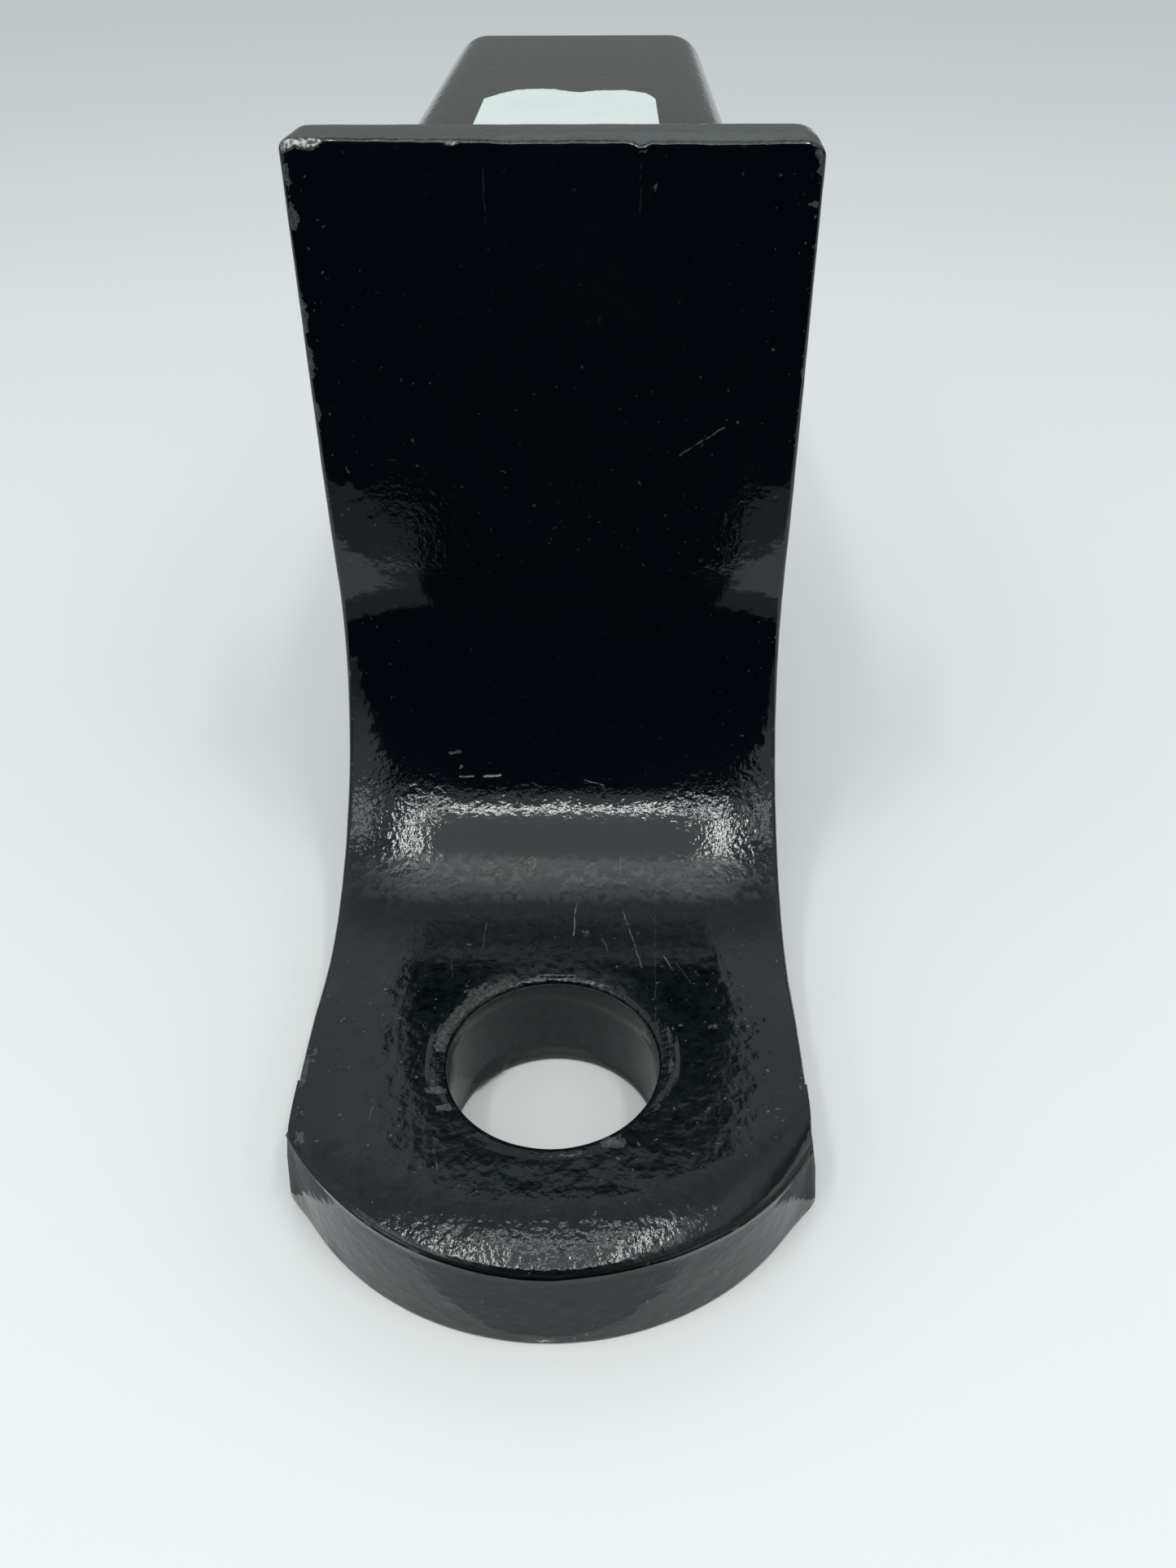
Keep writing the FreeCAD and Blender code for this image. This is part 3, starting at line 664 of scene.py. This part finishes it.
def wall_radius(depth, angle):
    """The punched hole: smooth below the rim, then wider where the slug broke out, with one torn burr below."""
    turn = (math.cos(angle), math.sin(angle), 0.0)
    step = 3.0 + 1.8 * max(0.0, math.cos(angle - 0.9)) ** 3 + 0.35 * ripple(turn, 0.4)
    burr = hump(math.degrees(angle), 128.0, 142.0, 9.0) * ease(depth, 15.2, 17.6)
    return HOLE_R + 0.20 * ease(depth, step - 0.3, step + 0.3) - 0.85 * burr


def open_hole(bm, straight):
    """Open both faces over the hole, shape the bar, and run the rim down from the top to the lower face."""
    inside = []
    for face in bm.faces:
        centre = face.calc_center_median()
        flat = centre.z < TOUCH or centre.z > THICK - TOUCH
        if flat and max(abs(centre.x), abs(centre.y - HOLE_S)) < HOLE_RING * GRID:
            inside.append(face)
    bmesh.ops.delete(bm, geom=inside, context="FACES")
    loop = [edge for edge in bm.edges if edge.is_boundary and edge.verts[0].co.z < 1]
    for v in bm.verts:
        v[straight] = v.co
        v.co = forge(*v.co)
    rolled = [math.radians(turn) for turn in (2.0, 16.0, 34.0, 52.0, 71.0, 90.0)]
    wall = [(RIM_ROLL * (1 - math.sin(turn)), RIM_ROLL * (1 - math.cos(turn))) for turn in rolled]
    wall += [(0.0, depth) for depth in even(RIM_ROLL, THICK - RIM_BREAK, 0.75)[1:]]
    wall.append((RIM_BREAK, THICK))
    for out, depth in wall:
        made = bmesh.ops.extrude_edge_only(bm, edges=loop)["geom"]
        for v in made_verts(made):
            angle = math.atan2(v.co.y - HOLE_Y, v.co.x)
            radius = out + (wall_radius(depth, angle) if RIM_ROLL < depth < THICK - 2 * RIM_BREAK else HOLE_R)
            v.co = Vector((radius * math.cos(angle), HOLE_Y + radius * math.sin(angle), PLATFORM_TOP - depth))
            v[straight] = Vector((v.co.x, HOLE_S + HOLE_Y - v.co.y, -depth))
        loop = made_edges(made)
    bmesh.ops.remove_doubles(bm, verts=bm.verts[:], dist=TOUCH)
    bmesh.ops.recalc_face_normals(bm, faces=bm.faces[:])


def unrolled_place(v, straight):
    """Across and along the unrolled bar, with the sides folded out beside the front."""
    x, s, through = v[straight]
    if through >= 0 and abs(x) > HALF - TOUCH:
        return math.copysign(HALF + through, x), s
    if BEND_END < s < BAR_END - TOUCH:
        return v.co.x, BEND_END + BEND_Y - v.co.y
    return x, s - (through if s < TOUCH else 0.0)


def unroll(bm, straight):
    """Write the unrolled places to the map that the scratches follow: in metres, the back beside the front."""
    layer = bm.loops.layers.uv.new("unrolled")
    for face in bm.faces:
        through = sum(v[straight].z for v in face.verts) / len(face.verts)
        for loop in face.loops:
            across, height = unrolled_place(loop.vert, straight)
            if through < -0.1 or through > THICK - TOUCH:
                across, height = loop.vert.co.x + 4 * WIDTH, loop.vert.co.z
            elif loop.vert[straight].y > BAR_END - TOUCH:
                height = BAR_END + max(0.0, loop.vert[straight].z)
            loop[layer].uv = (across * MM, height * MM)


# What the paint shader reads at each point
FIELDS = ("bare", "brown", "fold", "worn", "dust", "dull", "crackle", "pebble")
CHIP_DEPTH = 0.09


def hole_fields(across, height, depth):
    """The wall of the hole: crackled paint over the rim, a dull band, and worn paint below it."""
    on_rim = depth < RIM_ROLL
    broken = ease(depth, 3.0, 4.5)
    return {"bare": mark(CHIPS, across, height) if depth < RIM_ROLL + 0.2 else 0.0,
            "worn": broken, "dull": 0.8 * (1 - broken), "crackle": 0.9 if on_rim else 0.12, "pebble": 0.22}


def nose_fields(x, through):
    """The sheared face of the nose."""
    return {"bare": mark(FACE_CHIPS, x, through), "worn": 0.3 * ease(through, 0.3, 1.2),
            "crackle": 0.14, "pebble": 0.55}


def back_fields(x, s):
    """The back and the underside, rubbed along their edges."""
    edge = min(HALF - abs(x), s if s < LEG_END else HALF)
    return {"bare": 0.34 * (1 - ease(edge, 0.2, 1.2)), "worn": 0.15, "crackle": 0.25, "pebble": 0.9}


def front_fields(x, s, across, height):
    """The front, top and sides: chips and mill scale, dust behind the hole, a painted sheen over the whole top
    end face, dull paint in the bend.
    """
    ring = math.hypot(x, height - HOLE_S)
    dust = 0.75 * (1 - ease(ring, HOLE_R + 1.2, HOLE_R + 6.0)) * ease(HOLE_S - height, 6.0, 15.0)
    return {"bare": mark(CHIPS, across, height), "brown": mark(BROWN_SPOTS, across, height),
            # painted sheen: the top end face gets the dust colour all over, standing in for mirrored light
            "dust": 1.0 if s < TOUCH else dust,
            "worn": 0.55 * ease(height, 116.0, 124.0) * hump(x, -28.0, 28.0, 5.0),
            "dull": hump(height, 120.5, 124.5, 4.5),
            "crackle": crackle_share(x, height), "pebble": pebble_share(x, height)}


def crack_and_groove_shade_share(x, s, through, across, height):
    """Dark marks: the cracks of the torn shoulders, and painted shade in the groove along the crease, darkest
    in the middle.
    """
    fold = 0.0
    if abs(across) > HALF + 2.0 or s > BAR_END - TOUCH:
        fold = mark(SHOULDER_CRACKS, math.copysign(HALF + through, x), height)
    # painted shade: the groove along the crease is darkened and made matt, most of all in the middle
    if through > -TOUCH and s > BAR_END - 1.2 and through < 0.5:
        dark = 0.55 + 0.35 * (1 - ease(abs(x - 3.0), 8.0, 22.0))
        groove = ease(s, BAR_END - 1.0, BAR_END - 0.4) * (1 - ease(through, 0.05, 0.4))
        fold = max(fold, dark * groove)
    return fold


def make_drawbar(material):
    bm = straight_bar()
    straight = bm.verts.layers.float_vector.new("straight")
    open_hole(bm, straight)
    layers = [bm.verts.layers.float.new(name) for name in FIELDS]
    bm.normal_update()
    moves = []
    for v in bm.verts:
        x, s, through = v[straight]
        across, height = unrolled_place(v, straight)
        in_hole = through < -TOUCH
        at_end = s > BAR_END - TOUCH
        if in_hole:
            fields = hole_fields(across, height, -through)
        elif at_end:
            fields = nose_fields(x, through)
        elif through > THICK - TOUCH:
            fields = back_fields(x, s)
        else:
            fields = front_fields(x, s, across, height)
        if not in_hole and abs(across) > HALF - 1.0 and s < LIP_START:
            fields["bare"] = max(fields["bare"], 0.30 * (1 - ease(through, 0.8, 1.6)))
        fields["fold"] = crack_and_groove_shade_share(x, s, through, across, height)
        for name, layer in zip(FIELDS, layers):
            v[layer] = fields.get(name, 0.0)
        rise = lumps(v.co, x, height, through) - CHIP_DEPTH * clamp(fields["bare"] - 0.5)
        if at_end or (s > BAR_END - 1.2 and through < TOUCH):
            rise += crease_shift(x, s, max(through, 0.0))
        moves.append(v.normal * rise)
    for v, move in zip(bm.verts, moves):
        v.co += move
    unroll(bm, straight)
    bm.verts.layers.float_vector.remove(straight)
    for v in bm.verts:
        v.co *= MM
    return new_piece("forged_drawbar", bm, material)


# Shank, weld and label

TUBE_WEAR = 0.35
WELD_STEPS, WELD_SECTION, WELD_BURIED = 760, 16, 0.8   # grid round and across; from this share on it is hidden
WELD_SUNK, RIPPLE_PITCH = 0.1, 2.3
LABEL_SQUARES = 150


def make_tube(material):
    """The shank's own solid with its sharp edges worn round."""
    bm = bmesh.new()
    bm.from_mesh(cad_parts["shank_tube"].data)
    bmesh.ops.transform(bm, matrix=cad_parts["shank_tube"].matrix_world, verts=bm.verts[:])
    bmesh.ops.remove_doubles(bm, verts=bm.verts[:], dist=TOUCH * MM)
    bmesh.ops.dissolve_limit(bm, angle_limit=math.radians(0.5), verts=bm.verts[:], edges=bm.edges[:])
    sharp = [edge for edge in bm.edges
             if len(edge.link_faces) == 2 and edge.calc_face_angle() > math.radians(30)]
    bmesh.ops.bevel(bm, geom=sharp, offset=TUBE_WEAR * MM, affect="EDGES", segments=3, profile=0.5,
                    material=-1, clamp_overlap=True)
    bmesh.ops.recalc_face_normals(bm, faces=bm.faces[:])
    tube = new_piece("worn_shank_tube", bm, material)
    normals = tube.modifiers.new("flat_faces", "WEIGHTED_NORMAL")
    normals.keep_sharp = True
    return tube


def tube_outline(length, out):
    """A point at this length round the shank's outline, this far outside it, and the outline's whole length."""
    flat = TUBE_HALF - TUBE_CORNER
    side = 2 * flat
    corner = TUBE_CORNER * math.pi / 2
    around = 4 * (side + corner)
    quarter, rest = divmod(length % around, side + corner)
    if rest < side:
        x, z = rest - flat, TUBE_HALF + out
    else:
        turn = (rest - side) / TUBE_CORNER
        x = flat + (TUBE_CORNER + out) * math.sin(turn)
        z = flat + (TUBE_CORNER + out) * math.cos(turn)
    for _ in range(int(quarter)):
        x, z = z, -x
    return x, z, around


def make_weld(material):
    """Fillet weld round the shank: the ripples are curved, as the pool froze behind the arc."""
    around = tube_outline(0.0, 0.0)[2]
    bm = bmesh.new()
    bmesh.ops.create_grid(bm, x_segments=WELD_STEPS, y_segments=WELD_SECTION, size=1.0)
    spread = math.asin(WELD_LEG / math.sqrt(2) / WELD_CROWN)
    for v in bm.verts:
        length = (v.co.x + 1) / 2 * around
        share = (v.co.y + 1) / 2
        if share > WELD_BURIED:
            # the buried side, from the leg's face to the shank
            t = (share - WELD_BURIED) / (1 - WELD_BURIED)
            out, back = blend(WELD_LEG, 0.0, t) - WELD_SUNK, -WELD_SUNK
            if t > 0.5:
                out, back = -WELD_SUNK, blend(-WELD_SUNK, WELD_LEG, (t - 0.5) * 2)
        else:
            t = share / WELD_BURIED
            angle = blend(-spread, spread, t)
            crown = WELD_CROWN * math.cos(angle) - math.sqrt(WELD_CROWN ** 2 - WELD_LEG ** 2 / 2)
            middle = 1 - (2 * t - 1) ** 2
            wave = (length + 1.4 * middle + 0.5 * ripple((length, 0, 0), 9.0)) / RIPPLE_PITCH
            beat = wave - math.floor(wave)
            crown += middle * (0.20 * beat - 0.22 + 0.14 * ripple((length, t * 3, 0), 5.0, 9.0))
            toe = 0.18 * ripple((length, 40 * t, 0), 4.0, 3.0) * (1 - middle)
            out = WELD_LEG * t + (crown - 0.05) / math.sqrt(2) + min(0.0, toe)
            back = WELD_LEG * (1 - t) + (crown - 0.05) / math.sqrt(2) + min(0.0, toe)
        x, z, _ = tube_outline(length, out)
        v.co = Vector((x, LEG_BACK + back, z)) * MM
    bmesh.ops.remove_doubles(bm, verts=bm.verts[:], dist=TOUCH * MM)
    bmesh.ops.recalc_face_normals(bm, faces=bm.faces[:])
    return new_piece("rippled_weld", bm, material)


# The label's torn edge: across, and distance along y
TORN_EDGE = ((-17.05, -29.2), (-15.9, -27.4), (-14.1, -23.6), (-12.7, -21.4), (-11.0, -19.6), (-9.0, -18.7),
             (-6.0, -18.3), (-3.6, -18.5), (-2.2, -19.9), (-0.9, -20.9), (1.4, -22.4), (3.0, -21.9),
             (5.0, -20.7), (7.1, -20.2), (9.0, -20.5), (11.0, -20.2), (13.0, -21.4), (15.1, -23.4),
             (16.2, -26.3), (17.05, -30.2))


def make_label(material):
    """Paper label: a thin sheet on the shank, with a fibrous torn edge that has begun to lift."""
    bm = bmesh.new()
    bmesh.ops.create_grid(bm, x_segments=LABEL_SQUARES, y_segments=LABEL_SQUARES, size=1.0)
    torn = bm.verts.layers.float.new("torn")
    for v in bm.verts:
        x = v.co.x * LABEL_HALF
        far = along(TORN_EDGE, x) + 0.35 * ripple((x, 0, 0), 0.9, 3.0) + 0.25 * ripple((x, 0, 0), 0.35, 5.0)
        share = (v.co.y + 1) / 2
        y = blend(LABEL_NEAR, far, 1 - (1 - share) ** 1.35)
        v[torn] = 1 - ease(far - y, 0.15, 1.3 + 0.7 * ripple((x, 0, 0), 2.5, 8.0))
        lift = 0.10 * (1 - ease(far - y, 0.0, 3.0)) * (0.5 + 0.5 * ripple((x, y, 0), 4.0, 6.0))
        v.co = Vector((x, y, TUBE_HALF + 0.5 * LABEL_THICK + lift)) * MM
    bmesh.ops.solidify(bm, geom=bm.faces[:], thickness=LABEL_THICK * 0.45 * MM)
    bmesh.ops.recalc_face_normals(bm, faces=bm.faces[:])
    return new_piece("torn_label", bm, material)


# Studio

# The photograph's viewpoint: place in mm, angles in radians, focal length and height of the photo in pixels
CAMERA_PLACE, CAMERA_DOWN, CAMERA_YAW, CAMERA_ROLL = (8.01, -317.0, 78.18), 0.6464, -0.0179, -0.0058
CAMERA_FOCAL, PHOTO_TALL = 1591.95, 1927

# Light of the tent, from the floor up to straight overhead
TENT = ((0.05, grey(0.21, 1.05, 1.02)), (0.22, grey(0.26, 1.06, 1.04)), (0.50, grey(0.64, 1.12, 1.14)),
        (0.80, grey(0.66, 1.12, 1.14)), (0.93, grey(0.42, 1.10, 1.12)))

# The frame of lights hangs here and faces the bend; across and ahead of its middle, width, depth, radiance
FRAME_PLACE, FRAME_AIM = Vector((0.0, -0.443, 0.786)), Vector((0.0, -0.135, -0.06))
LIGHT_COLOUR = (0.95, 1.0, 0.985)
LIGHTS = (
    ("strip_left", -0.255, 0.01, 0.055, 0.31, 22.0), ("strip_right", 0.250, 0.01, 0.055, 0.31, 22.0),
    ("strip_front", 0.0, -0.158, 0.44, 0.015, 32.0), ("strip_back", 0.0, 0.262, 0.44, 0.050, 7.0),
    ("panel_middle", 0.0, 0.09, 0.42, 0.46, 0.84),
    ("panel_left", -0.555, -0.086, 0.12, 0.30, 2.8), ("panel_right", 0.485, -0.086, 0.11, 0.30, 2.8),
)

# Cards on the floor: two corners in metres and how pale they are
FLOOR_GAP, CARD_GAP = 0.0002, 0.0008
BLACK_CARD, GREY_CARD, PALE_CARD = 0.004, 0.28, 0.62
CARDS = (
    ("card_near", (-0.046, -0.287), (0.052, -0.236), BLACK_CARD),
    ("card_far", (-0.7, -1.7), (0.7, -0.287), BLACK_CARD),
    ("card_beside_left", (-0.20, -0.287), (-0.046, -0.236), GREY_CARD),
    ("card_beside_right", (0.052, -0.287), (0.20, -0.236), GREY_CARD),
    ("card_left", (-0.070, -0.206), (-0.0405, -0.178), GREY_CARD),
    ("card_right", (0.0405, -0.206), (0.070, -0.178), GREY_CARD),
    ("card_hole", (-0.011, -0.199), (0.0155, -0.170), PALE_CARD),
    ("card_nose", (-0.046, -0.236), (0.052, -0.2203), PALE_CARD),
)
OPENING_HALF, OPENING_Y, OPENING_TOP = 0.34, -0.66, 0.655


def place_camera():
    """A camera at the viewpoint, found from the outline of the bar, its hole and the shank."""
    data = bpy.data.cameras.new("camera")
    camera = bpy.data.objects.new("camera", data)
    bpy.context.scene.collection.objects.link(camera)
    data.sensor_width = 36.0
    data.lens = CAMERA_FOCAL / PHOTO_TALL * data.sensor_width
    data.clip_start, data.clip_end = 0.01, 50.0
    down, yaw, roll = CAMERA_DOWN, CAMERA_YAW, CAMERA_ROLL
    right = Vector((math.cos(yaw), -math.sin(yaw), 0))
    ahead = Vector((math.sin(yaw) * math.cos(down), math.cos(yaw) * math.cos(down), -math.sin(down)))
    below = Vector((-math.sin(yaw) * math.sin(down), -math.cos(yaw) * math.sin(down), -math.cos(down)))
    image_right = math.cos(roll) * right - math.sin(roll) * below
    image_down = math.sin(roll) * right + math.cos(roll) * below
    turn = Matrix((image_right, -image_down, -ahead)).transposed().to_4x4()
    camera.matrix_world = Matrix.Translation(Vector(CAMERA_PLACE) * MM) @ turn
    bpy.context.scene.camera = camera


def light_strip(name, place, toward, size, radiance):
    """A soft panel with its centre and direction, as bright as this all over."""
    data = bpy.data.lights.new(name, "AREA")
    data.shape = "RECTANGLE"
    data.size, data.size_y = size
    data.energy, data.color = radiance * size[0] * size[1] * math.pi, LIGHT_COLOUR
    lamp = bpy.data.objects.new(name, data)
    bpy.context.scene.collection.objects.link(lamp)
    lamp.matrix_world = Matrix.Translation(place) @ toward.to_track_quat("-Z", "Y").to_matrix().to_4x4()
    lamp.visible_camera = False


def matt(name, colour, roughness):
    """A material without gloss."""
    return Shade(bpy.data.materials.new(name)).finish(Base_Color=colour, Roughness=roughness,
                                                      Specular_IOR_Level=0.0)


def sheet(name, low, high, material):
    """A flat sheet between two corners: its near side is at the low one, its far side at the high one."""
    bm = bmesh.new()
    bmesh.ops.create_grid(bm, x_segments=1, y_segments=1, size=1.0)
    for v in bm.verts:
        side = high if v.co.y > 0 else low
        v.co = Vector(((high if v.co.x > 0 else low)[0], side[1], side[2]))
    made = new_piece(name, bm, material)
    return made


def only_mirrored(card):
    """The card darkens what the gloss paint mirrors, and nothing else."""
    card.visible_camera = card.visible_diffuse = card.visible_shadow = False


def make_studio():
    """Pale floor in a pale tent, a frame of lights overhead, and cards that the paint mirrors."""
    scene = bpy.context.scene
    scene.view_settings.view_transform = "Standard"
    scene.world = bpy.data.worlds.new("studio")
    sky = Shade(scene.world)
    height = sky.add("SeparateXYZ", None, {0: sky.place("Generated")}, out=2)
    colour = sky.add("ValToRGB", {"stops": TENT}, {0: height})
    sky.add("OutputWorld", None, {0: sky.add("Background", None, {0: colour})})

    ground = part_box("drawbar")[0].z
    floor, level = matt("pale_floor", (0.91, 0.885, 0.885, 1.0), 0.9), ground - FLOOR_GAP
    sheet("floor", (-6.0, -6.0, level), (6.0, 6.0, level), floor)
    shades = {shade: matt(f"card_{round(shade * 100)}", grey(shade), 1.0)
              for shade in (BLACK_CARD, GREY_CARD, PALE_CARD)}
    level = ground + CARD_GAP
    for name, low, high, shade in CARDS:
        only_mirrored(sheet(name, (*low, level), (*high, level), shades[shade]))
    low, high = (-OPENING_HALF, OPENING_Y, ground), (OPENING_HALF, OPENING_Y, OPENING_TOP)
    only_mirrored(sheet("tent_opening", low, high, shades[BLACK_CARD]))

    toward = (FRAME_AIM - FRAME_PLACE).normalized()
    across = Vector((1, 0, 0))
    ahead = across.cross(toward).normalized()
    for name, dx, dy, wide, tall, radiance in LIGHTS:
        light_strip(name, FRAME_PLACE + across * dx + ahead * dy, toward, (wide, tall), radiance)


# Put together

place_camera()
make_studio()
plain_paint = black_paint("black_paint", False)
for piece, node, slot in (
        (make_drawbar(black_paint("black_paint_chipped", True)), "drawbar", "black_paint"),
        (make_tube(plain_paint), "shank_tube", "black_paint"),
        (make_weld(weld_paint()), "weld_bead", "weld"),
        (make_label(label_paper()), "paper_label", "paper")):
    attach(piece, "root")
    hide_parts(node)
